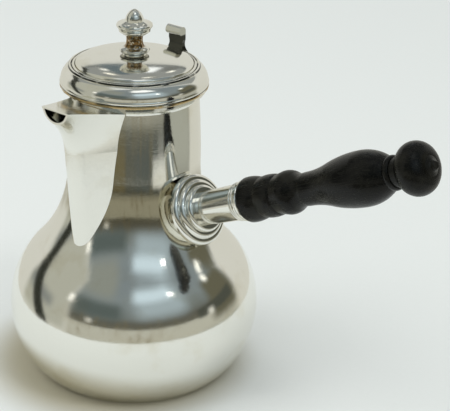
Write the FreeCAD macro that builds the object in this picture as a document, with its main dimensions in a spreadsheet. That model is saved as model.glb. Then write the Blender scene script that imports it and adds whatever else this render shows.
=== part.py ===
import FreeCAD, Part
import Sketcher
import math
import os
import re

# Hot milk pitcher: a raised silver pot with a covered beak spout, a hinged lid with a turned
# finial and a thumbpiece, and a turned wooden side handle in a silver socket.
# Millimetres. Origin at the centre of the base, on the table. +Z up, spout to -Y, handle to +X,
# hinge at +Y.

doc = FreeCAD.newDocument("hot_milk_pitcher")
pieces = []

sizes = {
    # Pot
    "belly_radius": 62,  # outer radius of the belly at its widest
    "belly_height": 34,  # height of the widest girth
    "base_radius": 46.8,  # outer radius of the ring that the pot stands on
    "shoulder_curve": 47.2,  # radius of the profile above the girth
    "sweep_curve": 62,  # radius of the hollow profile between belly and neck
    "neck_radius": 32.3,  # outer radius of the neck at its waist
    "neck_taper": 1.5,  # how far the neck draws in from its waist to the mouth
    "pot_height": 148.1,  # height of the mouth
    "wall": 1.0,  # thickness of the raised wall
    "solder_gap": 0.05,  # gap left at a soldered seat
    "base_thickness": 1.2,  # thickness of the let-in base

    # Mouth moulding
    "moulding_stand": 3.6,  # how far the mouth moulding stands out of the mouth
    "moulding_height": 4.3,  # height of the mouth moulding
    "moulding_band": 1.6,  # height of the plain band at its top
    "moulding_quirk": 0.5,  # set-back of the cove under the band
    "moulding_clearance": 3.4,  # from the spout's flank to the moulding's end

    # Strainer holes behind the spout
    "strainer_hole_radius": 1.8,  # radius of a strainer hole
    "strainer_pitch": 6.2,  # spacing of the holes along a row
    "strainer_start": 22.7,  # from the spout's toe up to the lowest row
    "strainer_row_rise": 7.5,  # rise from row to row

    # Spout
    "spout_toe_height": 77.3,  # height where the keel leaves the belly
    "spout_toe_depth": 8,  # how far the sheet runs on below the toe, inside the pot
    "beak_height": 24,  # height over which the beak flares
    "flare_reach": 16.3,  # how far the beak flares over its height
    "spout_nose": 7.2,  # radius of the rounded keel
    "spout_wall": 1.1,  # thickness of the spout sheet
    "mouth_stand": 23.6,  # front edge of the spout beyond the mouth of the pot
    "cover_rise": 1.9,  # front edge of the cover above the mouth of the pot
    "cover_thickness": 0.8,  # thickness of the spout cover

    # Handle, with its lengths measured along its own axis
    "handle_root_height": 76.1,  # height where the handle axis meets the pot axis
    "socket_root_radius": 8.0,  # outer radius of the socket at the disc
    "socket_radius": 8.7,  # outer radius of the socket at its open end
    "socket_wall": 0.9,  # thickness of the socket
    "socket_length": 33.0,  # from the disc's rim to the open end of the socket
    "disc_stand": 6.9,  # from the wall of the pot to the disc's rim
    "disc_width": 5.7,  # how far the stepped disc stands out of its collar
    "disc_depth": 10,  # how far disc and socket run on inside the wall, before they are trimmed
    "collar_width": 3.6,  # how far the collar stands out of the socket
    "collar_length": 5.5,  # from the disc's rim to the end of the collar
    "ring_stand": 1.2,  # how far the socket ring stands out of the socket
    "ring_length": 6.0,  # length of the socket ring
    "tenon_gap": 0.08,  # gap between the tenon and the socket
    "tenon_length": 21.9,  # length of the tenon
    "shoulder_gap": 0.5,  # gap between the wood and the socket's end
    "turning_radius": 10.8,  # outer radius of the turned rings
    "turning_length": 36.0,  # from the wood's shoulder to the slim neck of the grip
    "grip_neck_radius": 7.75,  # radius of the slim neck of the grip
    "grip_radius": 12.6,  # greatest radius of the grip
    "grip_rise": 32,  # from the slim neck to the fullest part
    "grip_fall": 14.9,  # from the fullest part to the neck before the ball
    "end_neck_radius": 7.2,  # radius of the neck before the ball
    "ball_reach": 13.9,  # from that neck to the middle of the ball
    "ball_radius": 12.05,  # radius of the ball across the axis
    "ball_half_length": 8.1,  # half the length of the ball along the axis
    "nub_radius": 2.3,  # radius of the small end nub
    "nub_length": 1.8,  # how far the nub stands out of the ball
    "pin_inset": 12.4,  # from the socket's open end to the cross pin
    "pin_radius": 1.0,  # radius of the cross pin
    "pin_gap": 0.04,  # gap round a pin

    # Lid
    "lid_seat_gap": 0.3,  # gap between the lid and the mouth
    "lid_overhang": 1.3,  # how far the lid stands out over the mouth moulding
    "border_height": 3.0,  # height of the lid border
    "border_width": 2.1,  # width of the lid border
    "lid_wall": 0.9,  # thickness of the lid sheet
    "lid_ledge": 0.4,  # set-back of the ovolo on the border
    "ovolo_height": 6.2,  # height of the ovolo above the border
    "ovolo_inset": 3.75,  # how far the ovolo draws in over its height
    "bead_height": 1.5,  # height of the large bead on the lid
    "bead_width": 1.2,  # width of that bead's rounded face
    "bead_flat": 0.65,  # flat between the large and the small bead
    "small_bead_width": 1.5,  # width of the small bead
    "dome_shoulder_rise": 1.2,  # rise of the dome's rounded shoulder
    "dome_shoulder_width": 1.6,  # width of that shoulder
    "dome_rise": 2.0,  # rise of the dome above its shoulder
    "bezel_clearance": 0.6,  # gap between the lid flange and the neck
    "bezel_depth": 4.6,  # how far the flange reaches into the neck

    # Finial
    "finial_plate_radius": 7.7,  # radius of the plate under the finial
    "finial_plate_height": 0.6,  # thickness of that plate
    "finial_foot_radius": 3.6,  # radius of the finial foot
    "finial_foot_height": 1.0,  # height of the finial foot
    "finial_collar_radius": 7.4,  # radius of the collar
    "finial_collar_height": 2.9,  # height of the collar
    "reel_radius": 4.5,  # radius of the reel at its ends
    "reel_waist": 0.6,  # how far the reel draws in
    "reel_height": 6.0,  # height of the reel
    "step_height": 1.3,  # height of one step under the disc
    "step_width": 1.6,  # width of one step under the disc
    "knop_radius": 9.8,  # radius of the disc of the finial
    "knop_height": 1.8,  # thickness of the disc at its edge
    "button_radius": 4.3,  # radius of the pointed button
    "button_rise": 2.6,  # rise from the disc to the button
    "button_height": 4.7,  # height of the pointed button
    "button_tip_radius": 0.2,  # radius of the worn tip of the button
    "stud_radius": 1.5,  # radius of the stud under the finial
    "stud_grip": 7.0,  # length of the stud inside the finial
    "stud_tail": 5.2,  # length of the stud below the lid
    "washer_radius": 5.0,  # radius of the washer
    "washer_thickness": 0.8,  # thickness of the washer
    "nut_width": 6.0,  # width of the nut across its flats
    "nut_height": 2.6,  # height of the nut

    # Hinge and thumbpiece
    "knuckle_radius": 2.2,  # outer radius of the knuckles
    "knuckle_length": 2.8,  # length of one knuckle
    "knuckle_gap": 0.1,  # gap between knuckles, end to end
    "hinge_clearance": 0.7,  # from the lid's edge to the knuckles
    "hinge_pin_radius": 0.9,  # radius of the hinge pin
    "leaf_gap": 0.35,  # gap round the other leaf's knuckles
    "leaf_setback": 0.2,  # height that each leaf keeps from the joint of lid and mouth
    "leaf_thickness": 2.8,  # height of a hinge leaf
    "thumb_inset": 1.15,  # front face of the thumbpiece inside the large bead
    "thumb_thickness": 2.0,  # thickness of the thumbpiece
    "thumb_width": 9.0,  # width of the thumbpiece
    "thumb_foot_width": 10.8,  # width of its spread foot
    "thumb_height": 12.9,  # height of the thumbpiece above the ovolo
    "scroll_radius": 2.3,  # radius of the rolled top

    # Slopes, and angles in degrees
    "spout_lean": 0.094,  # how far the keel leans out for each unit of height
    "spout_flank_angle": 32,  # half angle of the V below the beak
    "beak_flank_angle": 18,  # half angle of the V at the top of the beak
    "cover_slope": 0.2,  # fall of the cover towards the neck for each unit of length
    "handle_tilt": 24.5,  # angle of the handle above level
}

# Places and radii worked out from the sizes above
places = {
    # Profile of the pot
    "belly_curve": (
        "(belly_height^2 + (belly_radius - base_radius)^2) / (2 * (belly_radius - "
        "base_radius))"
    ),
    "shoulder_centre": "belly_radius - shoulder_curve",
    "sweep_centre": "neck_radius + sweep_curve",
    "curves_apart": "shoulder_curve + sweep_curve",
    "sweep_top": "belly_height + sqrt(curves_apart^2 - (sweep_centre - shoulder_centre)^2)",
    "sweep_share": "shoulder_curve / curves_apart",
    "mouth_radius": "neck_radius - neck_taper",
    "neck_rise": "pot_height - sweep_top",
    "neck_curve": "(neck_rise^2 + neck_taper^2) / (2 * neck_taper)",

    # Mouth moulding
    "moulding_radius": "mouth_radius + moulding_stand",
    "moulding_bottom": "pot_height - moulding_height",

    # Spout
    "spout_toe_reach": "sweep_centre - sqrt(sweep_curve^2 - (sweep_top - spout_toe_height)^2)",
    "mouth_reach": "mouth_radius + mouth_stand",
    "cover_front": "pot_height + cover_rise",
    "cover_drop": "cover_front - cover_thickness",
    "flare_height": "cover_front - beak_height",
    "flare_keel": "spout_toe_reach + spout_lean * (flare_height - spout_toe_height)",
    "root_reach": "mouth_radius * cos(spout_flank_angle)",
    "root_half_width": (
        "spout_nose * cos(spout_flank_angle) + (flare_keel - spout_nose + spout_nose * "
        "sin(spout_flank_angle) - root_reach) * tan(spout_flank_angle)"
    ),
    "moulding_gap_angle": "asin((root_half_width + moulding_clearance) / moulding_radius)",

    # Handle: where its axis leaves the pot, and the places along it from there
    "sweep_drop": "sweep_top - handle_root_height",
    "sweep_along": "sweep_centre * cos(handle_tilt) + sweep_drop * sin(handle_tilt)",
    "wall_place": "sweep_along - sqrt(sweep_along^2 - sweep_centre^2 - sweep_drop^2 + sweep_curve^2)",
    "disc_rim": "wall_place + disc_stand",
    "disc_start": "wall_place - disc_depth",
    "collar_end": "disc_rim + collar_length",
    "socket_end": "disc_rim + socket_length",
    "handle_start": "socket_end + shoulder_gap",
    "tenon_start": "handle_start - tenon_length",
    "pin_place": "socket_end - pin_inset",
    "grip_neck_place": "handle_start + turning_length",
    "grip_place": "grip_neck_place + grip_rise",
    "end_neck_place": "grip_place + grip_fall",
    "ball_place": "end_neck_place + ball_reach",
    "collar_radius": "socket_root_radius + collar_width",
    "disc_radius": "collar_radius + disc_width",
    "ring_radius": "socket_radius + ring_stand",

    # Lid and finial
    "lid_radius": "moulding_radius + lid_overhang",
    "lid_bottom": "pot_height + lid_seat_gap",
    "border_top": "lid_bottom + border_height",
    "ovolo_top": "border_top + ovolo_height",
    "ovolo_radius": "(ovolo_height^2 + ovolo_inset^2) / (2 * ovolo_inset)",
    "bead_radius": "lid_radius - lid_ledge - ovolo_inset",
    "bead_inner": "bead_radius - bead_width",
    "small_bead": "bead_inner - bead_flat",
    "dome_radius": "small_bead - small_bead_width",
    "dome_edge_height": "ovolo_top + bead_height",
    "dome_shoulder_radius": "dome_radius - dome_shoulder_width",
    "dome_shoulder_top": "dome_edge_height + dome_shoulder_rise",
    "dome_top": "dome_shoulder_top + dome_rise",
    "finial_base": "dome_top + finial_plate_height",

    # Hinge and thumbpiece
    "hinge_height": "pot_height + lid_seat_gap / 2",
    "hinge_reach": "lid_radius + hinge_clearance + knuckle_radius",
    "thumb_reach": "bead_radius - thumb_inset",
    "thumb_top": "ovolo_top + thumb_height",
}


def bound(formula):
    """Make a formula in plain names read its sizes and places from the two sheets."""
    def with_sheet(word):
        name = word.group()
        if name in sizes:
            return "Sizes." + name
        return "Places." + name if name in places else name
    return re.sub(r"[a-z][a-z_]*", with_sheet, str(formula))


def fill(sheet, row, name, cell):
    sheet.set(f"A{row}", name.replace("_", " "))
    sheet.set(f"B{row}", cell)
    sheet.setAlias(f"B{row}", name)


size_sheet = doc.addObject("Spreadsheet::Sheet", "Sizes")
for row, name in enumerate(sizes, start=1):
    fill(size_sheet, row, name, str(sizes[name]))
doc.recompute()
place_sheet = doc.addObject("Spreadsheet::Sheet", "Places")
for row, name in enumerate(places, start=1):
    fill(place_sheet, row, name, "=" + bound(places[name]))
    doc.recompute()


def value(formula):
    """The present value of a formula in size and place names."""
    number = size_sheet.evalExpression(bound(formula))
    return float(getattr(number, "Value", number))


def plane(body, role):
    """One of a body's own origin planes."""
    return next(item for item in body.Origin.OriginFeatures if item.Role == role)


def new_body(name):
    return doc.addObject("PartDesign::Body", name)


def new_sketch(body, name, role, height=None):
    """A sketch on an origin plane of the body, lifted off it where a height is given."""
    sketch = body.newObject("Sketcher::SketchObject", name)
    sketch.AttachmentSupport = [(plane(body, role), "")]
    sketch.MapMode = "FlatFace"
    if height is not None:
        sketch.setExpression("AttachmentOffset.Base.z", bound(height))
    return sketch


def pin_corner(sketch, edge, end, corner):
    """Hold one end of an edge at the place that the corner's two formulas give."""
    for kind, formula in (("DistanceX", corner[0]), ("DistanceY", corner[1])):
        sketch.addConstraint(Sketcher.Constraint(kind, -1, 1, edge, end, value(formula)))
        sketch.setExpression(f"Constraints[{sketch.ConstraintCount - 1}]", bound(formula))


def draw(sketch, corners):
    """Draw a closed outline. A corner is (x, y), and (x, y, radius, side) starts an arc to the
    next corner with its centre on the left (1) or the right (-1) of the way there."""
    ends = []
    for index, corner in enumerate(corners):
        following = corners[(index + 1) % len(corners)]
        start = FreeCAD.Vector(value(corner[0]), value(corner[1]), 0)
        finish = FreeCAD.Vector(value(following[0]), value(following[1]), 0)
        if len(corner) == 2:
            edge = sketch.addGeometry(Part.LineSegment(start, finish))
            ends.append((edge, 1, 2))
            continue
        radius, side = value(corner[2]), corner[3]
        along = (finish - start).normalize()
        left = FreeCAD.Vector(-along.y, along.x, 0)
        half = start.distanceToPoint(finish) / 2
        lift = math.sqrt(max(radius ** 2 - half ** 2, 0))
        middle = (start + finish) * 0.5 + left * side * (lift - radius)
        edge = sketch.addGeometry(Part.Arc(start, middle, finish))
        ends.append((edge, 1, 2) if side > 0 else (edge, 2, 1))
    for index, (edge, first, last) in enumerate(ends):
        after, entry, _ = ends[(index + 1) % len(ends)]
        sketch.addConstraint(Sketcher.Constraint("Coincident", edge, last, after, entry))
        pin_corner(sketch, edge, first, corners[index])
        if len(corners[index]) == 4:
            sketch.addConstraint(Sketcher.Constraint("Radius", edge, value(corners[index][2])))
            number = sketch.ConstraintCount - 1
            sketch.setExpression(f"Constraints[{number}]", bound(corners[index][2]))


def draw_circle(sketch, x, y, radius):
    centre = FreeCAD.Vector(value(x), value(y), 0)
    edge = sketch.addGeometry(Part.Circle(centre, FreeCAD.Vector(0, 0, 1), value(radius)))
    pin_corner(sketch, edge, 3, (x, y))
    sketch.addConstraint(Sketcher.Constraint("Radius", edge, value(radius)))
    sketch.setExpression(f"Constraints[{sketch.ConstraintCount - 1}]", bound(radius))


def turned(name, corners, axis="V_Axis", role="XZ_Plane"):
    """A body turned about the pot axis, or about the sketch's level axis."""
    body = new_body(name)
    sketch = new_sketch(body, name + "_outline", role)
    draw(sketch, corners)
    revolution = body.newObject("PartDesign::Revolution", name + "_turning")
    revolution.Profile = sketch
    revolution.ReferenceAxis = (sketch, [axis])
    revolution.Angle = 360
    return body


def boolean(kind, name, base, tool):
    """A Part::Cut or Part::Common of two objects."""
    result = doc.addObject("Part::" + kind, name)
    result.Base = base
    result.Tool = tool
    return result


def keep(piece, label):
    """Count an object as a piece of the pitcher."""
    piece.Label = label
    pieces.append(piece)
    return piece


def pot_outline(inset):
    """Outline of the pot's surface, moved inwards by a formula, from the base to the mouth."""
    touch_x = "(shoulder_centre + sweep_share * (sweep_centre - shoulder_centre))"
    touch_y = "(belly_height + sweep_share * (sweep_top - belly_height))"
    lean_x = "((sweep_centre - shoulder_centre) / curves_apart)"
    lean_y = "((sweep_top - belly_height) / curves_apart)"
    low = "(belly_radius - belly_curve)"
    foot_x = f"{low} + sqrt((belly_curve - {inset})^2 - belly_height^2)"
    top_x = f"(neck_radius - neck_curve) + sqrt((neck_curve - {inset})^2 - neck_rise^2)"
    return [
        (foot_x, "0", f"belly_curve - {inset}", 1),
        (f"belly_radius - {inset}", "belly_height", f"shoulder_curve - {inset}", 1),
        (f"{touch_x} - {inset} * {lean_x}", f"{touch_y} - {inset} * {lean_y}",
         f"sweep_curve + {inset}", -1),
        (f"neck_radius - {inset}", "sweep_top", f"neck_curve - {inset}", 1),
        (top_x, "pot_height"),
    ]


def walk_back(corners):
    """The same outline walked the other way."""
    path = [corners[-1][:2]]
    for before in reversed(corners[:-1]):
        path[-1] = path[-1][:2] + ((before[2], -before[3]) if len(before) == 4 else ())
        path.append(before[:2])
    return path


# Pot: the raised wall, with a triangle of strainer holes on the spout side
strainer_rows = 4


def build_body_shell():
    body = turned("body_shell", pot_outline("0") + walk_back(pot_outline("wall")))
    sketch = new_sketch(body, "strainer_pattern", "XZ_Plane")
    for row in range(strainer_rows):
        for place in range(row + 1):
            across = f"strainer_pitch * {place - row / 2}"
            up = f"spout_toe_height + strainer_start + strainer_row_rise * {row}"
            draw_circle(sketch, across, up, "strainer_hole_radius")
    holes = body.newObject("PartDesign::Pocket", "strainer_holes")
    holes.Profile = sketch
    holes.Reversed = True
    holes.setExpression("Length", bound("belly_radius"))
    body.Tip = holes
    return keep(body, "body_shell")


def build_base_plate():
    low = "(belly_radius - belly_curve)"
    inner = "(belly_curve - wall - solder_gap)"
    def edge(z):
        return f"{low} + sqrt({inner}^2 - (belly_height - {z})^2)"
    return keep(turned("base_plate", [
        ("0", "0"),
        (edge("0"), "0"),
        (edge("base_thickness"), "base_thickness"),
        ("0", "base_thickness"),
    ]), "base_plate")


def build_pot_form():
    """Solid of the pot's outer surface, used to trim what is soldered on."""
    outline = pot_outline("(0 - solder_gap)")
    foot = (outline[0][0], "0")
    return turned("pot_form", [("0", "0")] + [foot + outline[0][2:]] + outline[1:]
                  + [("0", "pot_height")])


def build_rim_moulding():
    top = "mouth_radius + solder_gap"
    foot = "(mouth_radius + solder_gap + moulding_height * neck_rise / neck_curve)"
    band = "(pot_height - moulding_band)"
    listel = "(moulding_band / 4)"
    cove = f"({band} - {listel} - moulding_bottom)"
    body = new_body("rim_moulding")
    sketch = new_sketch(body, "rim_moulding_outline", "YZ_Plane")
    draw(sketch, [
        (foot, "moulding_bottom"),
        (f"{foot} + {listel}", "moulding_bottom", f"{cove} * 1.05", -1),
        ("moulding_radius - moulding_quirk", f"{band} - {listel}"),
        ("moulding_radius - moulding_quirk", band),
        ("moulding_radius - moulding_quirk / 2", band),
        ("moulding_radius", f"{band} + moulding_quirk / 2"),
        ("moulding_radius", "pot_height - moulding_quirk / 2"),
        ("moulding_radius - moulding_quirk / 2", "pot_height"),
        (top, "pot_height"),
    ])
    revolution = body.newObject("PartDesign::Revolution", "rim_moulding_turning")
    revolution.Profile = sketch
    revolution.ReferenceAxis = (sketch, ["V_Axis"])
    revolution.Midplane = True
    revolution.setExpression("Angle", bound("360 deg - 2 * moulding_gap_angle"))
    return keep(body, "rim_moulding")


# Spout: one V of sheet with a rounded keel, flared into a beak, trimmed to the pot
beak_sections = 4


def spout_section(body, name, height, share, inset):
    """One level section of the spout. The share tells how far up the beak it lies, 0 to 1."""
    flare = f"flare_reach * {share}^2.4" if share else "0"
    reach = f"(spout_toe_reach + spout_lean * ({height} - spout_toe_height) + {flare})"
    angle = f"(spout_flank_angle + (beak_flank_angle - spout_flank_angle) * {share}^1.5)"
    nose = f"(spout_nose - {inset})"
    centre = f"({reach} - spout_nose)"
    back = "(neck_radius / 2)"
    touch_x = f"{nose} * cos({angle})"
    touch_y = f"({centre} + {nose} * sin({angle}))"
    back_x = f"({touch_x} + ({touch_y} - {back}) * tan({angle}))"
    sketch = new_sketch(body, name, "XY_Plane", height)
    draw(sketch, [
        (f"0 - {back_x}", f"0 - {back}"),
        (f"0 - {touch_x}", f"0 - {touch_y}", nose, 1),
        (touch_x, f"0 - {touch_y}"),
        (back_x, f"0 - {back}"),
    ])
    return sketch


def spout_loft(name, inset):
    """The spout's outer form, or with an inset its channel: a straight V, then the flared beak."""
    body = new_body(name)
    foot = spout_section(body, name + "_foot", "(spout_toe_height - spout_toe_depth)", 0, inset)
    beak = []
    for step in range(beak_sections + 1):
        share = step / beak_sections
        height = f"(flare_height + beak_height * {share})"
        beak.append(spout_section(body, f"{name}_beak_{step}", height, share, inset))
    for part, profile, sections in (("v", foot, beak[:1]), ("beak", beak[0], beak[1:])):
        loft = body.newObject("PartDesign::AdditiveLoft", f"{name}_{part}_loft")
        loft.Profile = profile
        loft.Sections = sections
        doc.recompute()
    body.Tip = loft
    return body


def side_slab(name, corners):
    """A body with an outline in side view, as wide as the pot."""
    body = new_body(name)
    sketch = new_sketch(body, name + "_outline", "YZ_Plane")
    draw(sketch, corners)
    pad = body.newObject("PartDesign::Pad", name + "_pad")
    pad.Profile = sketch
    pad.Midplane = True
    pad.setExpression("Length", bound("2 * belly_radius"))
    return body


def build_spout(pot_form):
    form = spout_loft("spout_form", "0")
    channel = spout_loft("spout_channel", "spout_wall")
    fall = "cover_slope * mouth_reach"
    below = side_slab("below_cover", [
        ("0 - mouth_reach", "0"), ("0", "0"),
        ("0", f"cover_drop - {fall}"), ("0 - mouth_reach", "cover_drop"),
    ])
    slab = side_slab("cover_slab", [
        ("0 - mouth_reach", "cover_drop"), ("0", f"cover_drop - {fall}"),
        ("0", f"cover_front - {fall}"), ("0 - mouth_reach", "cover_front"),
    ])
    hollow = boolean("Cut", "spout_hollow", form, channel)
    trimmed = boolean("Common", "spout_trimmed", hollow, below)
    keep(boolean("Cut", "spout_shell_cut", trimmed, pot_form), "spout_shell")
    blank = boolean("Common", "spout_cover_blank", form, slab)
    keep(boolean("Cut", "spout_cover_cut", blank, pot_form), "spout_cover")


# Handle: everything is turned about one tilted axis
def tilt(piece):
    """Lay a piece that is turned about the X axis along the handle's axis."""
    piece.Placement = FreeCAD.Placement(FreeCAD.Vector(), FreeCAD.Vector(0, -1, 0), 1)
    piece.setExpression("Placement.Base.z", bound("handle_root_height"))
    piece.setExpression("Placement.Rotation.Angle", bound("handle_tilt"))
    return piece


def socket_outer(place):
    """Outer radius of the tapered socket at a place along the axis."""
    return ("(socket_root_radius + (socket_radius - socket_root_radius)"
            f" * ({place} - disc_rim) / socket_length)")


def pin_hole(body, role="XY_Plane"):
    """Drill the cross pin's hole through a handle piece."""
    sketch = new_sketch(body, body.Name + "_pin_hole", role)
    draw_circle(sketch, "pin_place", "0", "pin_radius + pin_gap")
    hole = body.newObject("PartDesign::Pocket", body.Name + "_drilling")
    hole.Profile = sketch
    hole.Midplane = True
    hole.setExpression("Length", bound("4 * turning_radius"))
    body.Tip = hole


def build_escutcheon(pot_form):
    """A disc of three rounded steps on a narrower foot that meets the wall of the pot."""
    seat = f"{socket_outer('disc_start')} + solder_gap"
    seat_out = f"{socket_outer('collar_end')} + solder_gap"
    upper = "disc_rim + collar_length * 0.62"
    lower = "disc_rim + collar_length * 0.3"
    blank = tilt(turned("escutcheon_blank", [
        ("disc_start", seat),
        ("collar_end", seat_out),
        ("collar_end", "collar_radius - collar_width * 0.45", "collar_width * 0.45", 1),
        (upper, "collar_radius - collar_width * 0.08"),
        (upper, "collar_radius + collar_width * 0.1", "disc_width * 0.4", 1),
        (lower, "disc_radius - disc_width * 0.5"),
        (lower, "disc_radius - disc_width * 0.42", "disc_width * 0.36", 1),
        ("disc_rim - disc_width * 0.05", "disc_radius"),
        ("disc_rim - disc_width * 0.25", "disc_radius", "disc_width * 1.1", -1),
        ("disc_rim - disc_width", "collar_radius"),
        ("disc_start", "collar_radius"),
    ], "H_Axis"))
    keep(boolean("Cut", "escutcheon_cut", blank, pot_form), "handle_escutcheon")


def build_socket(pot_form):
    start, end = "disc_start", "socket_end"
    body = turned("socket_blank", [
        (start, f"{socket_outer(start)} - socket_wall"),
        (end, f"{socket_outer(end)} - socket_wall"),
        (end, socket_outer(end)),
        (start, socket_outer(start)),
    ], "H_Axis")
    pin_hole(body)
    tilt(body)
    keep(boolean("Cut", "socket_cut", body, pot_form), "handle_socket")
    build_socket_ring()


def build_socket_ring():
    first = "(socket_end - ring_length)"
    groove = "(ring_radius - ring_stand * 0.79)"
    chamfer = "(ring_stand * 0.25)"
    ring = turned("socket_ring", [
        (first, f"{socket_outer(first)} + solder_gap"),
        ("socket_end", f"{socket_outer('socket_end')} + solder_gap"),
        ("socket_end", f"ring_radius - {chamfer}"),
        (f"socket_end - {chamfer}", "ring_radius"),
        ("socket_end - ring_length * 0.23", "ring_radius", "ring_stand * 1.33", -1),
        (f"{first} + ring_length * 0.42", groove, "ring_length * 0.1", 1),
        (f"{first} + ring_length * 0.25", groove),
        (f"{first} + ring_length * 0.21", groove, "ring_length * 0.1", 1),
        (f"{first} + ring_length * 0.04", groove),
    ], "H_Axis")
    keep(tilt(ring), "socket_ring")


def build_wooden_handle():
    bore = "(socket_wall + tenon_gap)"
    swell = "(grip_radius - grip_neck_radius)"
    swell_curve = f"((grip_rise^2 + {swell}^2) / (2 * {swell}))"
    fall = "(grip_radius - end_neck_radius)"
    fall_curve = f"((grip_fall^2 + {fall}^2) / (2 * {fall}))"
    edge = "(ball_half_length * 0.92)"
    ball_end = "(ball_place + ball_half_length)"
    ball_neck = "(end_neck_radius * 0.94)"
    neck_depth = f"sqrt({edge}^2 - ({ball_neck} - ball_radius + {edge})^2)"

    def turning(share):
        """A place along the turned part, as a share of its length."""
        return f"handle_start + turning_length * {share}"

    def ring(share):
        """The greatest radius of the turned part, less a share of it."""
        return f"turning_radius * {1 - share:g}"

    body = turned("wooden_handle", [
        ("tenon_start", "0"),
        (f"{ball_end} + nub_length", "0"),
        (f"{ball_end} + nub_length", "nub_radius * 0.71", "nub_length * 0.69", 1),
        (f"{ball_end} + nub_length * 0.31", "nub_radius"),
        (ball_end, "nub_radius * 1.3"),
        (f"ball_place + {edge}", f"ball_radius - {edge}", edge, 1),
        ("ball_place", "ball_radius", edge, 1),
        (f"ball_place - {neck_depth}", ball_neck),
        ("end_neck_place + ball_reach * 0.24", ball_neck),
        ("end_neck_place + ball_reach * 0.23", "end_neck_radius", "ball_reach * 0.16", 1),
        ("end_neck_place", "end_neck_radius", fall_curve, 1),
        ("grip_place", "grip_radius", f"{swell_curve} * 0.57", 1),
        ("grip_place - grip_rise * 0.57", f"grip_radius - {swell} * 0.57",
         f"{swell_curve} * 0.43", -1),
        ("grip_neck_place", "grip_neck_radius", "grip_neck_radius * 1.13", -1),
        (turning(0.83), ring(0.2), "turning_length * 0.22", 1),
        (turning(0.64), ring(0.08)),
        (turning(0.56), ring(0.135)),
        (turning(0.53), ring(0.16)),
        (turning(0.5), ring(0.11), "turning_length / 2", 1),
        (turning(0.3), ring(0.1)),
        (turning(0.26), ring(0.135)),
        (turning(0.22), ring(0.09), "turning_length / 2", 1),
        (turning(0.03), ring(0.01)),
        ("handle_start", ring(0.05)),
        ("handle_start", f"{socket_outer('handle_start')} - {bore}"),
        ("tenon_start", f"{socket_outer('tenon_start')} - {bore}"),
    ], "H_Axis")
    pin_hole(body)
    keep(tilt(body), "wooden_handle")


def build_handle_pin():
    body = new_body("handle_pin")
    sketch = new_sketch(body, "handle_pin_outline", "XY_Plane")
    draw_circle(sketch, "pin_place", "0", "pin_radius")
    pad = body.newObject("PartDesign::Pad", "handle_pin_pad")
    pad.Profile = sketch
    pad.Midplane = True
    pad.setExpression("Length", bound(f"2 * {socket_outer('pin_place')}"))
    keep(tilt(body), "handle_pin")


# Lid
def lid_profile(lift):
    """Ovolo, bead, flat and small bead of the lid, raised off the surface by a formula."""
    flat = f"ovolo_top + bead_height * 0.8 + {lift}"
    return [
        (f"lid_radius - lid_ledge + {lift}", "border_top", "ovolo_radius", 1),
        (f"bead_radius + {lift}", "ovolo_top", "bead_height * 0.62", 1),
        ("bead_inner", flat),
        ("small_bead", flat, "small_bead_width * 0.55", 1),
    ]


def build_lid():
    curve = "((dome_shoulder_radius^2 + dome_rise^2) / (2 * dome_rise))"
    seat = "finial_plate_radius"
    seat_drop = f"({curve} - sqrt({curve}^2 - {seat}^2))"
    keep(turned("lid_shell", [
        ("lid_radius - lid_ledge - lid_wall", "border_top"),
    ] + lid_profile("0") + [
        ("dome_radius", "dome_edge_height", "dome_shoulder_width", 1),
        ("dome_shoulder_radius", "dome_shoulder_top", curve, 1),
        (seat, f"dome_top - {seat_drop}"),
        (seat, "dome_top"),
        ("stud_radius + pin_gap", "dome_top"),
        ("stud_radius + pin_gap", "dome_top - lid_wall"),
        (seat, "dome_top - lid_wall", curve, -1),
        ("dome_shoulder_radius", "dome_shoulder_top - lid_wall"),
        ("dome_radius", "dome_edge_height - lid_wall"),
        ("bead_inner + lid_wall * 0.7", "ovolo_top - lid_wall", "ovolo_radius - lid_wall", -1),
    ]), "lid_shell")
    middle = "(lid_bottom + border_height / 2)"
    face = "(lid_radius - border_width * 0.14)"
    round_edge = "border_height * 0.37"
    groove = "border_height * 0.017"
    keep(turned("lid_border", [
        ("lid_radius - border_width", "lid_bottom"),
        (face, "lid_bottom", round_edge, 1),
        (face, f"{middle} - {groove}"),
        (face, f"{middle} + {groove}", round_edge, 1),
        (face, "border_top"),
        ("lid_radius - border_width", "border_top"),
    ]), "lid_border")
    inner = "(mouth_radius - wall - bezel_clearance)"
    flange = "lid_radius - border_width - solder_gap"
    keep(turned("lid_bezel", [
        (f"{inner} - lid_wall", "lid_bottom - bezel_depth"),
        (inner, "lid_bottom - bezel_depth"),
        (inner, "lid_bottom"),
        (flange, "lid_bottom"),
        (flange, "lid_bottom + lid_wall"),
        (f"{inner} - lid_wall", "lid_bottom + lid_wall"),
    ]), "lid_bezel")


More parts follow.
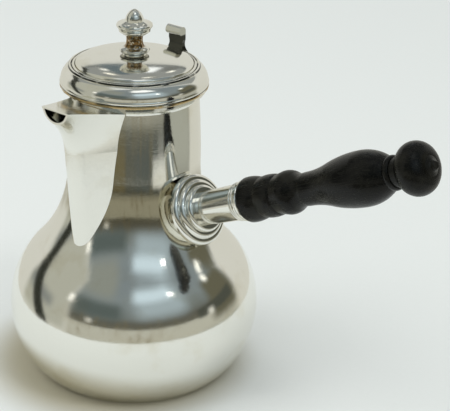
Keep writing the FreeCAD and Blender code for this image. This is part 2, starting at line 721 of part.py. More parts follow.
# Finial
def build_finial():
    keep(turned("finial_plate", [
        ("stud_radius + pin_gap", "dome_top"),
        ("finial_plate_radius - finial_plate_height * 0.33", "dome_top",
         "finial_plate_height * 0.55", 1),
        ("finial_plate_radius - finial_plate_height * 0.55", "finial_base"),
        ("stud_radius + pin_gap", "finial_base"),
    ]), "finial_plate")
    collar = "(finial_base + finial_foot_height)"
    reel = f"({collar} + finial_collar_height)"
    steps = f"({reel} + reel_height)"
    disc = f"({steps} + 3 * step_height)"
    top = f"({disc} + knop_height)"
    button = f"({top} + button_rise)"
    reel_curve = "((reel_height^2 / 4 + reel_waist^2) / (2 * reel_waist))"
    stud_top = "(finial_base + stud_grip + pin_gap)"
    stud_hole = "stud_radius + pin_gap"
    keep(turned("finial", [
        (stud_hole, "finial_base"),
        ("finial_foot_radius * 1.25", "finial_base", "finial_foot_height * 0.76", -1),
        ("finial_foot_radius", f"{collar} - finial_foot_height * 0.24"),
        ("finial_collar_radius * 0.88", collar, "finial_collar_height * 0.4", 1),
        ("finial_collar_radius * 0.96", f"{collar} + finial_collar_height * 0.59"),
        ("finial_collar_radius * 0.82", f"{reel} - finial_collar_height * 0.24"),
        ("reel_radius * 1.11", f"{reel} - finial_collar_height * 0.17"),
        ("reel_radius", reel, reel_curve, -1),
        ("reel_radius", steps),
        ("reel_radius + step_width", steps),
        ("reel_radius + step_width", f"{steps} + step_height"),
        ("reel_radius + 2 * step_width", f"{steps} + step_height"),
        ("reel_radius + 2 * step_width", f"{steps} + 2 * step_height"),
        ("knop_radius - knop_height / 2", disc, "knop_height * 0.61", 1),
        ("knop_radius - knop_height * 0.4", top, "knop_radius * 0.92", -1),
        ("button_radius * 1.09", f"{button} - button_rise * 0.12"),
        ("button_radius", button, "button_radius * 1.4", 1),
        ("button_tip_radius", f"{button} + button_height"),
        ("0", f"{button} + button_height"),
        ("0", stud_top),
        (stud_hole, stud_top),
    ]), "finial")
    low = "(dome_top - lid_wall)"
    keep(turned("finial_stud", [
        ("0", f"{low} - stud_tail"),
        ("stud_radius", f"{low} - stud_tail"),
        ("stud_radius", "finial_base + stud_grip"),
        ("0", "finial_base + stud_grip"),
    ]), "finial_stud")
    keep(turned("finial_washer", [
        ("stud_radius + pin_gap", f"{low} - washer_thickness"),
        ("washer_radius", f"{low} - washer_thickness"),
        ("washer_radius", low),
        ("stud_radius + pin_gap", low),
    ]), "finial_washer")
    body = new_body("finial_nut")
    sketch = new_sketch(body, "finial_nut_outline", "XY_Plane",
                        f"{low} - washer_thickness - nut_height")
    corner = "(nut_width / 2 / cos(30))"
    draw(sketch, [(f"{corner} * cos({60 * turn})", f"{corner} * sin({60 * turn})")
                  for turn in range(6)])
    draw_circle(sketch, "0", "0", "stud_radius + pin_gap")
    pad = body.newObject("PartDesign::Pad", "finial_nut_pad")
    pad.Profile = sketch
    pad.setExpression("Length", bound("nut_height"))
    keep(body, "finial_nut")


# Hinge: five knuckles on one pin, three on the pot and two on the lid
def build_leaf(name, seat_radius, low, high, owned):
    """One hinge leaf: a tongue that meets its round seat, and every second knuckle."""
    pitch = "(knuckle_length + knuckle_gap)"
    half = f"({pitch} * 2.5)"
    body = new_body(name)
    plan = new_sketch(body, name + "_plan", "XY_Plane", low)
    side = f"sqrt(({seat_radius})^2 - {half}^2)"
    draw(plan, [
        (f"0 - {half}", side, seat_radius, -1),
        (half, side),
        (half, "hinge_reach"),
        (f"0 - {half}", "hinge_reach"),
    ])
    tongue = body.newObject("PartDesign::Pad", name + "_tongue")
    tongue.Profile = plan
    tongue.setExpression("Length", bound(f"{high} - {low}"))
    doc.recompute()
    barrel_outline = new_sketch(body, name + "_barrel_outline", "YZ_Plane")
    draw_circle(barrel_outline, "hinge_reach", "hinge_height", "knuckle_radius")
    barrel = body.newObject("PartDesign::Pad", name + "_barrel")
    barrel.Profile = barrel_outline
    barrel.Midplane = True
    barrel.setExpression("Length", bound(f"2 * {half}"))
    doc.recompute()
    for index in range(5):
        if index in owned:
            continue
        gap_outline = new_sketch(body, f"{name}_gap_{index}_outline", "YZ_Plane",
                                 f"{pitch} * {index - 2.5} - knuckle_gap / 2")
        draw_circle(gap_outline, "hinge_reach", "hinge_height", "knuckle_radius + leaf_gap")
        gap = body.newObject("PartDesign::Pocket", f"{name}_gap_{index}")
        gap.Profile = gap_outline
        gap.Reversed = True
        gap.setExpression("Length", bound(f"{pitch} + knuckle_gap"))
        doc.recompute()
    bore_outline = new_sketch(body, name + "_bore_outline", "YZ_Plane")
    draw_circle(bore_outline, "hinge_reach", "hinge_height", "hinge_pin_radius + pin_gap")
    bore = body.newObject("PartDesign::Pocket", name + "_bore")
    bore.Profile = bore_outline
    bore.Midplane = True
    bore.setExpression("Length", bound(f"4 * {half}"))
    body.Tip = bore
    return keep(body, name)


def build_hinge():
    top = "(pot_height - leaf_setback)"
    build_leaf("body_hinge_leaf", "(moulding_radius + solder_gap)",
               f"({top} - leaf_thickness)", top, (0, 2, 4))
    low = "(lid_bottom + leaf_setback)"
    build_leaf("lid_hinge_leaf", "(lid_radius + solder_gap)",
               low, f"({low} + leaf_thickness)", (1, 3))
    body = new_body("hinge_pin")
    sketch = new_sketch(body, "hinge_pin_outline", "YZ_Plane")
    draw_circle(sketch, "hinge_reach", "hinge_height", "hinge_pin_radius")
    pad = body.newObject("PartDesign::Pad", "hinge_pin_pad")
    pad.Profile = sketch
    pad.Midplane = True
    pad.setExpression("Length", bound("5 * (knuckle_length + knuckle_gap) + 4 * knuckle_gap"))
    keep(body, "hinge_pin")


def build_lid_form():
    """Solid of the lid's outer surface, used to trim the thumbpiece's foot."""
    return turned("lid_form", [("0", "border_top")] + lid_profile("solder_gap") + [
        ("dome_radius", "dome_edge_height + solder_gap"),
        ("0", "dome_edge_height + solder_gap"),
    ])


def build_thumbpiece(lid_form):
    front = "thumb_reach"
    back = "(thumb_reach + thumb_thickness)"
    roll = "(thumb_top - scroll_radius)"
    body = new_body("thumb_blank")
    sketch = new_sketch(body, "thumb_side", "YZ_Plane")
    draw(sketch, [
        (f"{front} - thumb_thickness * 0.8", "ovolo_top - ovolo_height * 0.08"),
        (f"{back} + thumb_thickness * 1.1", "ovolo_top - ovolo_height * 0.55",
         "thumb_height * 1.07", -1),
        (back, "ovolo_top + thumb_height / 3"),
        (back, roll, "scroll_radius", 1),
        (f"{back} - scroll_radius", "thumb_top", "scroll_radius", 1),
        (f"{back} - 2 * scroll_radius", roll, "scroll_radius", 1),
        (front, f"{roll} - scroll_radius * 0.99"),
        (front, "ovolo_top + thumb_height * 0.3", "thumb_height * 0.93", -1),
    ])
    pad = body.newObject("PartDesign::Pad", "thumb_pad")
    pad.Profile = sketch
    pad.Midplane = True
    pad.setExpression("Length", bound("thumb_foot_width"))
    doc.recompute()
    face = new_sketch(body, "thumb_face", "XZ_Plane")
    foot = "ovolo_top + thumb_height * 0.03"
    waist = "ovolo_top + thumb_height * 0.47"
    above = "thumb_top + thumb_thickness"
    for side in (-1, 1):
        draw(face, [
            (f"{side} * thumb_width / 2", above),
            (f"{side} * thumb_foot_width", above),
            (f"{side} * thumb_foot_width", foot),
            (f"{side} * thumb_foot_width / 2", foot, "thumb_height * 0.43", side * -1),
            (f"{side} * thumb_width / 2", waist),
        ])
    trim = body.newObject("PartDesign::Pocket", "thumb_trim")
    trim.Profile = face
    trim.Midplane = True
    trim.setExpression("Length", bound("4 * thumb_reach"))
    body.Tip = trim
    keep(boolean("Cut", "thumb_cut", body, lid_form), "thumbpiece")


def check_and_write():
    """Stop on any failed object, then write each piece to its own file."""
    doc.recompute()
    for item in doc.Objects:
        if "Invalid" in item.State or "Error" in item.State:
            raise RuntimeError(f"{item.Label} is {item.State}")
    os.makedirs("parts", exist_ok=True)
    for piece in pieces:
        shape = piece.Shape
        if shape.isNull() or not shape.isValid() or len(shape.Solids) != 1:
            raise RuntimeError(f"{piece.Label} is not one valid solid: {len(shape.Solids)}")
    for piece in pieces:
        piece.Shape.exportStep(f"parts/{piece.Label}.step")
        print(f"{piece.Label}: {piece.Shape.Volume / 1000:.2f} cm3")


pot_form = build_pot_form()
build_body_shell()
build_base_plate()
build_rim_moulding()
build_spout(pot_form)
build_escutcheon(pot_form)
build_socket(pot_form)
build_wooden_handle()
build_handle_pin()
build_lid()
build_finial()
build_hinge()
build_thumbpiece(build_lid_form())
check_and_write()
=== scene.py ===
# %% [markdown]
# # Silver hot milk pitcher
# A pitcher like this is raised from one sheet of silver: a round belly, a hollow shoulder and a
# tall neck. A V-shaped spout with a flat cover, a hinged lid with a cast finial and a socket for a
# turned wooden handle are soldered on. This lesson starts from the maker's solids, which stand in
# real metres, and gives them their finish, their light and their camera.

# %% Start from the maker's solids
import math

import bpy
from mathutils import Matrix, Vector


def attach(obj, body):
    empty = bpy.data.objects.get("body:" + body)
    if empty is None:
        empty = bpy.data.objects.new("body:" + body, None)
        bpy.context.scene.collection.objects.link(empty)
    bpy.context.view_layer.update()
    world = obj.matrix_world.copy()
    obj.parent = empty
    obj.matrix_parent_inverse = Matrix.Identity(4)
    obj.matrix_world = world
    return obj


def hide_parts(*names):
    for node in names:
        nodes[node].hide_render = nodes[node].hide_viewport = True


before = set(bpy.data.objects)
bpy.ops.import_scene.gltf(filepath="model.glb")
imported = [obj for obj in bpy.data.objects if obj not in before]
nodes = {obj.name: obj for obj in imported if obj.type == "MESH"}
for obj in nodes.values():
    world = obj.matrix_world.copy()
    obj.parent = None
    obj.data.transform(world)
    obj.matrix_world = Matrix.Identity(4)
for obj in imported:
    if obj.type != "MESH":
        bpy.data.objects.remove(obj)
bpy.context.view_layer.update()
print("pieces in the frame:", len(nodes))

# %% [markdown]
# ## The camera
# The photograph looks down on the pitcher from the front, between the spout and the handle. The
# camera is placed on a circle round the pitcher by three plain numbers: how far it is turned, how
# high it looks from and how far away it stands. A long lens keeps the round forms calm.

# %% Camera
camera_turn = math.radians(38)
camera_height_angle = math.radians(23.87)
camera_distance = 0.806
camera_roll = math.radians(1.45)
lens_mm = 130.7
sensor_mm = 36
aim_beside_pot = 0.0447
aim_height = 0.086

to_right = Vector((math.cos(camera_turn), math.sin(camera_turn), 0))
to_viewer = Vector((math.sin(camera_turn), -math.cos(camera_turn), 0))
backwards = to_viewer * math.cos(camera_height_angle) + Vector((0, 0, math.sin(camera_height_angle)))
upwards = backwards.cross(to_right)
rolled_right = to_right * math.cos(camera_roll) + upwards * math.sin(camera_roll)
rolled_up = backwards.cross(rolled_right)
aim = to_right * aim_beside_pot + Vector((0, 0, aim_height))

camera_data = bpy.data.cameras.new("camera")
camera_data.lens = lens_mm
camera_data.sensor_width = sensor_mm
camera_data.sensor_fit = "HORIZONTAL"
camera_data.clip_start = 0.01
camera = bpy.data.objects.new("camera", camera_data)
bpy.context.scene.collection.objects.link(camera)
turn = Matrix((rolled_right, rolled_up, backwards)).transposed()
camera.matrix_world = Matrix.Translation(aim + backwards * camera_distance) @ turn.to_4x4()
bpy.context.scene.camera = camera
bpy.context.scene.view_settings.view_transform = "Standard"
print("camera stands at", [round(part, 4) for part in camera.matrix_world.translation])

# %% [markdown]
# ## Writing materials as sums
# Every finish below is a small sum: how rough the silver is here, how dark the wood is there. A
# wire stands for one output of a node, and the usual signs between wires add the maths nodes. All
# other nodes come from one method that takes the kind of node, its settings and its sockets.

# %% A wire and a node sheet
class Wire:
    """One output of a node; sums of wires and numbers add maths nodes."""

    def __init__(self, sheet, socket):
        self.sheet = sheet
        self.socket = socket

    def maths(self, operation, first, second=None):
        sockets = {0: first} if second is None else {0: first, 1: second}
        return self.sheet.node("ShaderNodeMath", {"operation": operation}, sockets)

    def __add__(self, other):
        return self.maths("ADD", self, other)

    def __radd__(self, other):
        return self.maths("ADD", other, self)

    def __sub__(self, other):
        return self.maths("SUBTRACT", self, other)

    def __rsub__(self, other):
        return self.maths("SUBTRACT", other, self)

    def __mul__(self, other):
        return self.maths("MULTIPLY", self, other)

    def __rmul__(self, other):
        return self.maths("MULTIPLY", other, self)

    def __truediv__(self, other):
        return self.maths("DIVIDE", self, other)

    def __pow__(self, other):
        return self.maths("POWER", self, other)

    def __rtruediv__(self, other):
        return self.maths("DIVIDE", other, self)

    def __abs__(self):
        return self.maths("ABSOLUTE", self)


class NodeSheet:
    """The nodes of one material, or of the world."""

    def __init__(self, owner):
        owner.use_nodes = True
        self.tree = owner.node_tree
        self.tree.nodes.clear()

    def node(self, kind, settings=None, sockets=None, output=0):
        made = self.tree.nodes.new(kind)
        for name, setting in (settings or {}).items():
            if name == "stops":
                self.set_stops(made.color_ramp, setting)
            else:
                setattr(made, name, setting)
        for name, content in (sockets or {}).items():
            if isinstance(content, Wire):
                self.tree.links.new(content.socket, made.inputs[name])
            else:
                made.inputs[name].default_value = content
        return Wire(self, made.outputs[output]) if made.outputs else None

    def set_stops(self, ramp, stops):
        while len(ramp.elements) < len(stops):
            ramp.elements.new(0.5)
        for element, (place, colour) in zip(ramp.elements, stops):
            element.position = place
            element.color = colour

    def place(self):
        """Where a point of the piece lies, in metres."""
        return self.node("ShaderNodeTexCoord", {}, {}, "Object")

    def parts(self, vector):
        split = self.node("ShaderNodeSeparateXYZ", {}, {0: vector})
        outputs = split.socket.node.outputs
        return [Wire(self, outputs[index]) for index in range(3)]

    def vector(self, x, y, z):
        return self.node("ShaderNodeCombineXYZ", {}, {0: x, 1: y, 2: z})

    def stretch(self, vector, factors):
        return self.node("ShaderNodeVectorMath", {"operation": "MULTIPLY"}, {0: vector, 1: factors})

    def noise(self, vector, scale, detail=2.0, rough=0.5):
        return self.node("ShaderNodeTexNoise", {},
                         {"Vector": vector, "Scale": scale, "Detail": detail, "Roughness": rough})

    def between(self, content, low, high, to_low=0.0, to_high=1.0):
        """Ease a wire from one range to another, and keep it inside."""
        return self.node("ShaderNodeMapRange", {"interpolation_type": "SMOOTHSTEP"},
                         {0: content, 1: low, 2: high, 3: to_low, 4: to_high})

    def blend(self, factor, first, second):
        """Mix two colours."""
        return self.node("ShaderNodeMix", {"data_type": "RGBA"}, {0: factor, 6: first, 7: second}, 2)


def surface(name, build):
    """A material with one principled surface, whose sockets the build function gives."""
    material = bpy.data.materials.new(name)
    sheet = NodeSheet(material)
    shader = sheet.node("ShaderNodeBsdfPrincipled", {}, build(sheet))
    sheet.node("ShaderNodeOutputMaterial", {}, {"Surface": shader})
    return material


print("wires and node sheets are ready")

# %% [markdown]
# ## Turning a form
# A silversmith spins sheet and turns cast parts on a lathe, so a piece is known by the outline of
# one half. In Blender one vertex is extruded from place to place along that outline and then spun
# round the upright axis. A round edge between two places is given by its radius, and by 1 where it
# swells outwards or -1 where it is hollow, as a workshop drawing gives it.

# %% Turn an outline
millimetre = 0.001
turning_steps = 144
finest_step = math.radians(6)


def round_edge(start, end, radius, bend):
    """The places along a round edge, without its start."""
    run, rise = end[0] - start[0], end[1] - start[1]
    chord = math.hypot(run, rise)
    offset = math.sqrt(radius ** 2 - chord ** 2 / 4) * bend / chord
    middle = ((start[0] + end[0]) / 2 - rise * offset, (start[1] + end[1]) / 2 + run * offset)
    first = math.atan2(start[1] - middle[1], start[0] - middle[0])
    last = math.atan2(end[1] - middle[1], end[0] - middle[0])
    sweep = math.remainder(last - first, 2 * math.pi)
    count = max(3, math.ceil(abs(sweep) / finest_step), math.ceil(abs(sweep) * radius / 1.2))
    angles = [first + sweep * step / count for step in range(1, count + 1)]
    return [(middle[0] + radius * math.cos(angle), middle[1] + radius * math.sin(angle))
            for angle in angles]


def turn_outline(name, outline):
    """Extrude a vertex along the outline in millimetres, and spin it round the upright axis."""
    places = [outline[0][:2]]
    for corner, following in zip(outline, outline[1:]):
        if len(corner) == 4:
            places += round_edge(corner[:2], following[:2], corner[2], corner[3])
        else:
            places.append(following[:2])
    bpy.ops.object.select_all(action="DESELECT")
    bpy.ops.mesh.primitive_plane_add(size=0.01)
    bpy.ops.object.mode_set(mode="EDIT")
    bpy.ops.mesh.select_all(action="SELECT")
    bpy.ops.mesh.merge(type="CENTER")
    bpy.ops.transform.translate(value=(places[0][0] * millimetre, 0, places[0][1] * millimetre))
    for place, following in zip(places, places[1:]):
        step = ((following[0] - place[0]) * millimetre, 0, (following[1] - place[1]) * millimetre)
        bpy.ops.mesh.extrude_vertices_move(TRANSFORM_OT_translate={"value": step})
    bpy.ops.mesh.select_all(action="SELECT")
    bpy.ops.mesh.spin(steps=turning_steps, angle=2 * math.pi, center=(0, 0, 0), axis=(0, 0, 1))
    bpy.ops.mesh.select_all(action="SELECT")
    bpy.ops.mesh.remove_doubles(threshold=0.000002)
    bpy.ops.mesh.normals_make_consistent(inside=False)
    bpy.ops.object.mode_set(mode="OBJECT")
    bpy.ops.object.shade_smooth_by_angle(angle=math.radians(32))
    piece = bpy.context.object
    piece.name = name
    print(name, "is turned, faces:", len(piece.data.polygons))
    return piece


# %% [markdown]
# ## The lid and its finial
# The lid is one spun sheet: a swelling ovolo, two beads and a dome. Its outline against the wall
# is low, but its rim rolls over in a tight shoulder, so its upper face is turned again here. Its under side
# keeps the height at which the washer and the nut hold the finial. The finial stands with its
# collar close over the dome, under a reel, three steps, a thin disc and a pointed button.

# %% Lid and finial
dome_radius = 28.2
dome_edge_height = 159.1
dome_top = 163.9
stud_hole = 1.54
dome_steps = 40


def dome_place(share):
    """A place on the dome, from its edge at 0 to its crown at 1: half an oval."""
    angle = math.radians(90) * share
    return (dome_radius * math.cos(angle),
            dome_edge_height + (dome_top - dome_edge_height) * math.sin(angle))


crown = [dome_place(step / dome_steps) for step in range(dome_steps)]
crown = [place for place in crown if place[0] > stud_hole]
domed_lid = turn_outline("domed_lid", [
    (34.4, 151.4), (35.3, 151.4, 7.0, 1),
    (31.55, 157.6, 0.93, 1), (30.35, 158.8), (30.1, 158.3), (29.9, 158.3),
    (29.7, 158.8, 0.75, 1), (28.55, 159.0), (28.45, 158.5), (28.3, 158.5)] + crown + [(stud_hole, dome_top - 0.01),
    (stud_hole, 161.4), (7.7, 161.4, 177.9, -1),
    (26.6, 159.4), (28.2, 158.2), (30.98, 156.7, 6.1, -1), (34.4, 151.4)])
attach(domed_lid, "lid")
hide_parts("lid_shell")

turned_finial = turn_outline("turned_finial", [
    (0, 163.6), (5.4, 163.6), (5.5, 164.2), (5.2, 164.6), (4.6, 164.7), (4.6, 164.9),
    (6.5, 164.9, 1.16, 1), (7.1, 166.6), (6.07, 167.1), (5.0, 167.3),
    (4.5, 167.8, 7.8, -1), (4.5, 173.8), (6.0, 173.85), (6.15, 174.0),
    (6.15, 174.7), (7.3, 174.8), (7.5, 175.0), (7.5, 175.7),
    (8.0, 176.8, 1.1, 1), (8.28, 178.6, 8.3, -1),
    (4.8, 179.74), (4.4, 179.9, 6.2, 1), (0.3, 185.6), (0, 185.75)])
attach(turned_finial, "lid")
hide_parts("finial", "finial_plate")

# %% [markdown]
# ## Silver
# Old polished silver isn't a perfect mirror. Years of rubbing leave hair-fine scratches, the sheet
# keeps a soft unevenness from the hammer, and a faint warm tarnish stays where the cloth seldom
# reaches. Raised parts carry scratches in every direction. Turned parts carry rings round their
# own axis, so their pattern is stretched along circles.

# %% Silver finishes
bright_silver = (0.87, 0.86, 0.80, 1)
warm_tarnish = (0.76, 0.72, 0.60, 1)
# A gold-brown painted reflection for the lid's border.
painted_gold_reflection = (0.50, 0.38, 0.20, 1)
olive_tarnish = (0.46, 0.43, 0.33, 1)
worn_gilt = (0.26, 0.155, 0.055, 1)
# A dark tint used both for tarnish in grooves and for painted shade.
dark_tarnish_and_shade = (0.055, 0.057, 0.050, 1)


def scratches(sheet, place, size_mm, stretched):
    """Hair-fine marks: a noise pulled long in one direction, kept only near its middle value."""
    drawn = sheet.noise(sheet.stretch(place, stretched), 1 / (size_mm * millimetre), 3.0)
    return 1 - sheet.between(abs(drawn - 0.5), 0.0, 0.035)


def inside(sheet, content, low, high, soft):
    """One between two bounds and nought outside, with soft edges."""
    return (sheet.between(content, low - soft, low + soft)
            * (1 - sheet.between(content, high - soft, high + soft)))


def ring_place(sheet, place):
    """Coordinates that hardly change round the upright axis but change quickly across it."""
    x, y, z = sheet.parts(place)
    reach = (x * x + y * y) ** 0.5 + 0.0001
    along = z + reach * 0.8
    return sheet.vector(x / reach * 0.004, y / reach * 0.004, along)


def silver_surface(ringed, rubbed, tarnish, dents, zones=()):
    """Silver; each zone is tinted: from and to in millimetres of height, softness, tint,
    and the size in millimetres of its mottling. Some zone tints are tarnish; others are painted
    shade and a painted reflection."""
    def build(sheet):
        place = sheet.place()
        cloudy = sheet.noise(place, 60, 3.0)
        fine = sheet.noise(place, 900, 2.0)
        lines = scratches(sheet, place, 6, (1, 1, 9)) * 0.5
        lines = lines + scratches(sheet, place, 5, (7, 2, 1.5)) * 0.5
        lines = lines + scratches(sheet, place, 7, (2, 8, 1)) * 0.4
        if ringed:
            rings = sheet.noise(ring_place(sheet, place), 2600, 2.0)
            fine = fine * 0.4 + rings * 0.6
        dirt = sheet.between(cloudy, 0.52, 0.72) * tarnish
        height = fine * 0.000004 + lines * -0.000003
        height = height + sheet.noise(place, 45, 1.0) * dents
        bump = sheet.node("ShaderNodeBump", {}, {"Strength": 1.0, "Distance": 1.0, "Height": height})
        colour = sheet.blend(dirt, bright_silver, warm_tarnish)
        upwards_place = sheet.parts(place)[2] / millimetre
        for low, high, soft, tint, mottling in zones:
            mottled = sheet.noise(place, 1 / (mottling * millimetre), 3.0, 0.6)
            share = inside(sheet, upwards_place, low, high, soft)
            colour = sheet.blend(share * sheet.between(mottled, 0.28, 0.50), colour, tint)
        return {
            "Base Color": colour,
            "Metallic": 1.0,
            "Roughness": rubbed + cloudy * 0.05 + lines * 0.05 + dirt * 0.08,
            "Normal": bump,
        }
    return build


raised_silver = surface("raised_silver", silver_surface(False, 0.035, 0.45, 0.00010, [
    (89, 107, 6, olive_tarnish, 30)]))
lid_silver = surface("lid_silver", silver_surface(True, 0.045, 0.45, 0.0, [
    (158.0, 158.72, 0.08, dark_tarnish_and_shade, 8)]))
spout_silver = surface("spout_silver", silver_surface(False, 0.10, 0.25, 0.00004))
turned_silver = surface("turned_silver", silver_surface(True, 0.045, 0.45, 0.0))
finial_silver = surface("finial_silver",
                        silver_surface(True, 0.05, 0.5, 0.0, [
                            (167.4, 173.6, 0.3, worn_gilt, 0.8),
                            # A thin darker band at the lower edge of the collar's swell.
                            (164.9, 165.3, 0.15, dark_tarnish_and_shade, 5)]))
border_silver_painted_reflection = surface("border_silver_painted_reflection",
                        silver_surface(True, 0.06, 0.6, 0.0, [
                            # Painted reflection: a mottled gold-brown band round the border from 147.5 to 149.9
                            # mm.
                            (147.5, 149.9, 0.3, painted_gold_reflection, 9),
                            # A thin darker line near the top of the border.
                            (149.7, 150.1, 0.1, dark_tarnish_and_shade, 6)]))
# Painted shade: up to 166.4 mm the thumbpiece's face under its roll is darkened almost evenly.
thumb_silver_painted_shade = surface("thumb_silver_painted_shade",
                       silver_surface(False, 0.09, 0.6, 0.0, [
                           (140, 166.4, 0.4, dark_tarnish_and_shade, 400)]))
inner_silver = surface("inner_silver", silver_surface(False, 0.16, 1.0, 0.0))
print("silver finishes:", raised_silver.name, spout_silver.name, turned_silver.name)

# %% [markdown]
# ## Black wood
# The handle is a hardwood stained black and rubbed with wax. The stain is worn thin where the hand
# holds it, so a greenish brown shows through, and fine pores run along the grain. The pattern has
# to follow the handle, which leans upwards, so its coordinates are first turned to lie along it.

# %% Black wood
handle_tilt = math.radians(24.5)
stain_black = (0.0016, 0.0016, 0.0014, 1)
worn_brown = (0.014, 0.0135, 0.009, 1)


def wood_surface(sheet):
    place = sheet.place()
    along = sheet.node("ShaderNodeMapping", {"vector_type": "POINT"},
                       {"Vector": place, "Rotation": (0, handle_tilt, 0)})
    pores = sheet.noise(sheet.stretch(along, (1, 14, 14)), 130, 4.0)
    wear = sheet.noise(along, 70, 3.0, 0.6)
    worn = sheet.between(wear, 0.45, 0.75)
    grain = sheet.between(pores, 0.45, 0.6)
    height = pores * 0.00008 + wear * 0.0001
    bump = sheet.node("ShaderNodeBump", {}, {"Strength": 0.6, "Distance": 1.0, "Height": height})
    return {
        "Base Color": sheet.blend(worn * 0.7 + grain * 0.2, stain_black, worn_brown),
        "Roughness": 0.23 + worn * 0.12 + grain * 0.07,
        "Specular IOR Level": 0.22,
        "Normal": bump,
    }


black_wood = surface("black_wood", wood_surface)
print("wood finish:", black_wood.name)

# %% Give every solid its finish
finish_of = {
    "body_shell": raised_silver,
    "spout_shell": spout_silver,
    "spout_cover": spout_silver,
    "wooden_handle": black_wood,
    "base_plate": inner_silver,
    "finial_washer": inner_silver,
    "finial_nut": inner_silver,
    "finial_stud": inner_silver,
    "lid_bezel": inner_silver,
    "lid_border": border_silver_painted_reflection,
    "thumbpiece": thumb_silver_painted_shade,
}
for name, node in nodes.items():
    node.data.materials.clear()
    node.data.materials.append(finish_of.get(name, turned_silver))
domed_lid.data.materials.append(lid_silver)
turned_finial.data.materials.append(finial_silver)
print("finished solids:", len(nodes), "and two turned pieces")

# %% [markdown]
# ## The table
# The pitcher stands on a pale sheet. Only the part of the sheet within a hand's reach shows in the
# silver. Past it a mirror ray leaves the table and meets the room, which is darker there. So the
# sheet is made of two pieces: a round one that every ray sees, and a wide one under it that hides
# from mirror rays. Close to the foot a warm olive contact shadow is painted into the paper's
# colour, with its centre moved a little to the left.

# %% Table
table_colour = (0.80, 0.825, 0.80, 1)
table_fleck = (0.76, 0.785, 0.755, 1)
# Painted contact shadow: a warm olive colour laid into the paper round the foot, moved a little to the left.
painted_contact_shadow = (0.40, 0.36, 0.24, 1)
near_sheet_radius = 0.25
foot_radius = 0.047
painted_shadow_offset = 0.010
sheet_step = 0.0002


def table_surface(sheet):
    place = sheet.place()
    x, y, z = sheet.parts(place)
    from_shadow_x = x + to_right.x * painted_shadow_offset
    from_shadow_y = y + to_right.y * painted_shadow_offset
    reach = (from_shadow_x * from_shadow_x + from_shadow_y * from_shadow_y) ** 0.5
    paper = sheet.noise(place, 400, 4.0)
    plain = sheet.blend(paper * 0.5, table_colour, table_fleck)
    # Painted contact shadow: the paper is darkened near the foot, most on the left.
    painted_shadow_share = 1 - sheet.between(reach, foot_radius, foot_radius * 1.65)
    return {
        "Base Color": sheet.blend(painted_shadow_share * 0.85, plain, painted_contact_shadow),
        "Roughness": 0.9,
        "Specular IOR Level": 0.1,
    }


pale_sheet = surface("pale_sheet", table_surface)
bpy.ops.object.select_all(action="DESELECT")
bpy.ops.mesh.primitive_circle_add(vertices=128, radius=near_sheet_radius, fill_type="NGON")
near_sheet = bpy.context.object
near_sheet.name = "near_sheet"
bpy.ops.object.select_all(action="DESELECT")
bpy.ops.mesh.primitive_plane_add(size=8)
bpy.ops.transform.translate(value=(0, 0, -sheet_step))
wide_sheet = bpy.context.object
wide_sheet.name = "wide_sheet"
wide_sheet.visible_glossy = False
for sheet_piece in (near_sheet, wide_sheet):
    sheet_piece.data.materials.append(pale_sheet)
print("near sheet reaches", near_sheet_radius, "m from the middle of the foot")

# %% [markdown]
# ## The room
# A mirror shows its room, so the room decides how silver looks. Behind the pitcher everything is
# pale. In front of it the room is open and darker: olive near the level of the eye, blue-grey
# higher up, with a large window above and a few small lamps. The room is written as a sum on the
# direction of a ray. Its bearing is measured from the viewer, to the right, and its height from
# level, both in degrees. Each patch has soft edges and lies over the ones before it.

# %% Room
pale_wall = (0.755, 0.79, 0.755, 1)
fill_light = (0.79, 0.81, 0.815, 1)
back_height_stops = [
    (-30, (0.66, 0.66, 0.59, 1)),
    (24, (0.70, 0.70, 0.65, 1)),
    (60, (0.62, 0.64, 0.61, 1)),
    (90, (0.85, 0.88, 0.88, 1)),
]
front_height_stops = [
    (-30, (0.73, 0.74, 0.68, 1)),
    (-26.5, (0.73, 0.74, 0.68, 1)),
    (-24.5, (0.10, 0.105, 0.085, 1)),
    (-15.5, (0.11, 0.115, 0.095, 1)),
    (-13, (0.40, 0.395, 0.33, 1)),
    (-10, (0.50, 0.495, 0.42, 1)),
    (3.5, (0.50, 0.50, 0.43, 1)),
    (5.5, (0.12, 0.118, 0.09, 1)),
    (12, (0.12, 0.12, 0.10, 1)),
    (18, (0.18, 0.205, 0.20, 1)),
    (31, (0.23, 0.27, 0.28, 1)),
    (60, (0.21, 0.25, 0.27, 1)),
    (84, (0.27, 0.30, 0.31, 1)),
    (90, (0.30, 0.32, 0.32, 1)),
]
# Each patch: bearing from and to, height from and to, softness, colour
room_patches = [
    (4, 46, -23, -17, 3, (0.095, 0.108, 0.10, 1)),
    (44, 70, -23, -16, 3, (0.24, 0.247, 0.225, 1)),
    (66, 112, -24, -11, 4, (0.40, 0.41, 0.355, 1)),
    (-60, -12, -24, -16, 3, (0.15, 0.13, 0.07, 1)),
    (35, 64, -32, -20, 1.5, (0.73, 0.74, 0.68, 1)),
    (-60, -8, 14, 33, 7, (0.10, 0.125, 0.12, 1)),
    (-60, -20, 38, 64, 9, (0.27, 0.29, 0.26, 1)),
    (-118, -62, -10, 70, 5, (0.46, 0.465, 0.40, 1)),
    (-118, -80, 4, 14, 5, (0.25, 0.265, 0.25, 1)),
    (80, 112, -5, 34, 5, (0.13, 0.125, 0.085, 1)),
    (64, 108, 3, 13, 1.5, (0.075, 0.08, 0.065, 1)),
    (6, 56, 18, 54, 9, (0.38, 0.46, 0.50, 1)),
    (2, 46, 36, 50, 6, (0.64, 0.78, 0.87, 1)),
    (-6, 60, 62.5, 80, 2.5, (1.15, 1.2, 1.22, 1)),
    (-66, -60, 21, 29, 2, (1.1, 1.1, 1.03, 1)),
    (-42, -36, 7, 12, 2, (0.7, 0.7, 0.64, 1)),
    (75, 81, 2, 8, 2, (0.7, 0.7, 0.64, 1)),
    (88, 94, 32, 38, 2.5, (1.4, 1.4, 1.3, 1)),
    (43, 47, 38, 42, 1.5, (4.0, 4.0, 4.0, 1)),
]
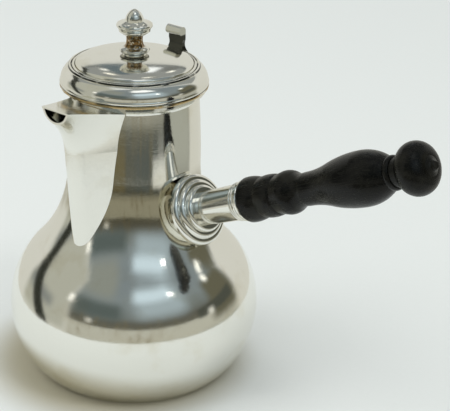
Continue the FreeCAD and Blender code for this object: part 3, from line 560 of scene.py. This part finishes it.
# High up behind the pitcher the wall ends in a dark ceiling with lamps, which the dome shows.
# Each patch there: degrees to the right and left of straight behind, height, softness, colour
ceiling_patches = [
    (-62, 62, 30.5, 95, 0.9, (0.30, 0.315, 0.305, 1)),
    (-30, 30, 30.5, 34, 1.2, (0.17, 0.185, 0.18, 1)),
    (6, 14, 30, 52, 2, (0.14, 0.175, 0.19, 1)),
    (-16, -5, 32, 42, 2.5, (0.20, 0.21, 0.20, 1)),
    (30, 62, 29, 38, 1.5, (0.05, 0.052, 0.045, 1)),
    (-5, 5, 34.5, 45, 1.5, (1.1, 1.14, 1.16, 1)),
    (14, 17, 37.5, 41, 1.0, (1.5, 1.5, 1.42, 1)),
    (18, 24, 48, 55, 1.5, (1.5, 1.45, 1.3, 1)),
    (-21, -15, 41, 45.5, 1.2, (1.5, 1.48, 1.35, 1)),
    (-26, -12, 64, 72, 2.5, (1.2, 1.2, 1.1, 1)),
]
dark_line = (0.03, 0.032, 0.025, 1)
streak_brown = (0.20, 0.165, 0.085, 1)


def height_ramp(sheet, height, stops):
    """A colour for each height in degrees, from -30 to 90."""
    share = (height + 30) / 120
    settings = {"stops": [((place + 30) / 120, colour) for place, colour in stops]}
    return sheet.node("ShaderNodeValToRGB", settings, {0: share})


def room_colour(sheet):
    x, y, z = sheet.parts(sheet.node("ShaderNodeTexCoord", {}, {}, "Generated"))
    rightwards = x * to_right.x + y * to_right.y
    forwards = x * to_viewer.x + y * to_viewer.y
    to_degrees = 180 / math.pi
    bearing = rightwards.maths("ARCTAN2", rightwards, forwards) * to_degrees
    height = z.maths("ARCSINE", z) * to_degrees
    from_behind = bearing + 360 * (1 - sheet.between(bearing, -0.5, 0.5)) - 180
    front = inside(sheet, bearing, -60, 112, 5)
    colour = sheet.blend(front, height_ramp(sheet, height, back_height_stops),
                         height_ramp(sheet, height, front_height_stops))
    for patches, across in ((room_patches, bearing), (ceiling_patches, from_behind)):
        for left, right, low, high, soft, patch_colour in patches:
            share = inside(sheet, across, left, right, soft)
            share = share * inside(sheet, height, low, high, soft)
            colour = sheet.blend(share, colour, patch_colour)
    around = sheet.vector(bearing / 5, height / 26, 0.0)
    streaks = sheet.between(sheet.noise(around, 1.0, 3.0, 0.6), 0.52, 0.68)
    low_front = inside(sheet, bearing, -56, 40, 8) * inside(sheet, height, -22, 16, 3)
    colour = sheet.blend(streaks * low_front * 0.6, colour, streak_brown)
    line = inside(sheet, bearing + height * 0.8, -104, -89, 2.5) * inside(sheet, height, -12, 34, 4)
    return sheet.blend(line, colour, dark_line)


def light_the_room():
    world = bpy.data.worlds.new("room")
    bpy.context.scene.world = world
    sheet = NodeSheet(world)
    seen = room_colour(sheet)
    path = sheet.node("ShaderNodeLightPath")
    outputs = path.socket.node.outputs
    camera_ray = Wire(sheet, outputs["Is Camera Ray"])
    glossy_ray = Wire(sheet, outputs["Is Glossy Ray"])
    others = sheet.blend(glossy_ray, fill_light, seen)
    colour = sheet.blend(camera_ray, others, pale_wall)
    background = sheet.node("ShaderNodeBackground", {}, {"Color": colour, "Strength": 1.0})
    sheet.node("ShaderNodeOutputWorld", {}, {"Surface": background})


light_the_room()


def soft_lamp(name, bearing, height_angle, distance, size, watts, colour=(1, 1, 1)):
    """A square lamp on a ball round the pitcher, turned to it."""
    bearing, height_angle = math.radians(bearing), math.radians(height_angle)
    level = to_viewer * math.cos(bearing) + to_right * math.sin(bearing)
    direction = level * math.cos(height_angle) + Vector((0, 0, math.sin(height_angle)))
    lamp_data = bpy.data.lights.new(name, "AREA")
    lamp_data.size = size
    lamp_data.energy = watts
    lamp_data.color = colour
    lamp = bpy.data.objects.new(name, lamp_data)
    bpy.context.scene.collection.objects.link(lamp)
    target = Vector((0, 0, 0.09))
    lamp.location = target + direction * distance
    lamp.rotation_euler = direction.to_track_quat("Z", "Y").to_euler()
    lamp.visible_glossy = False
    print(name, "at", [round(part, 2) for part in lamp.location])
    return lamp


soft_lamp("window", -75, 50, 1.6, 0.9, 6)
soft_lamp("bulb", 40, 55, 1.4, 0.3, 2.5)
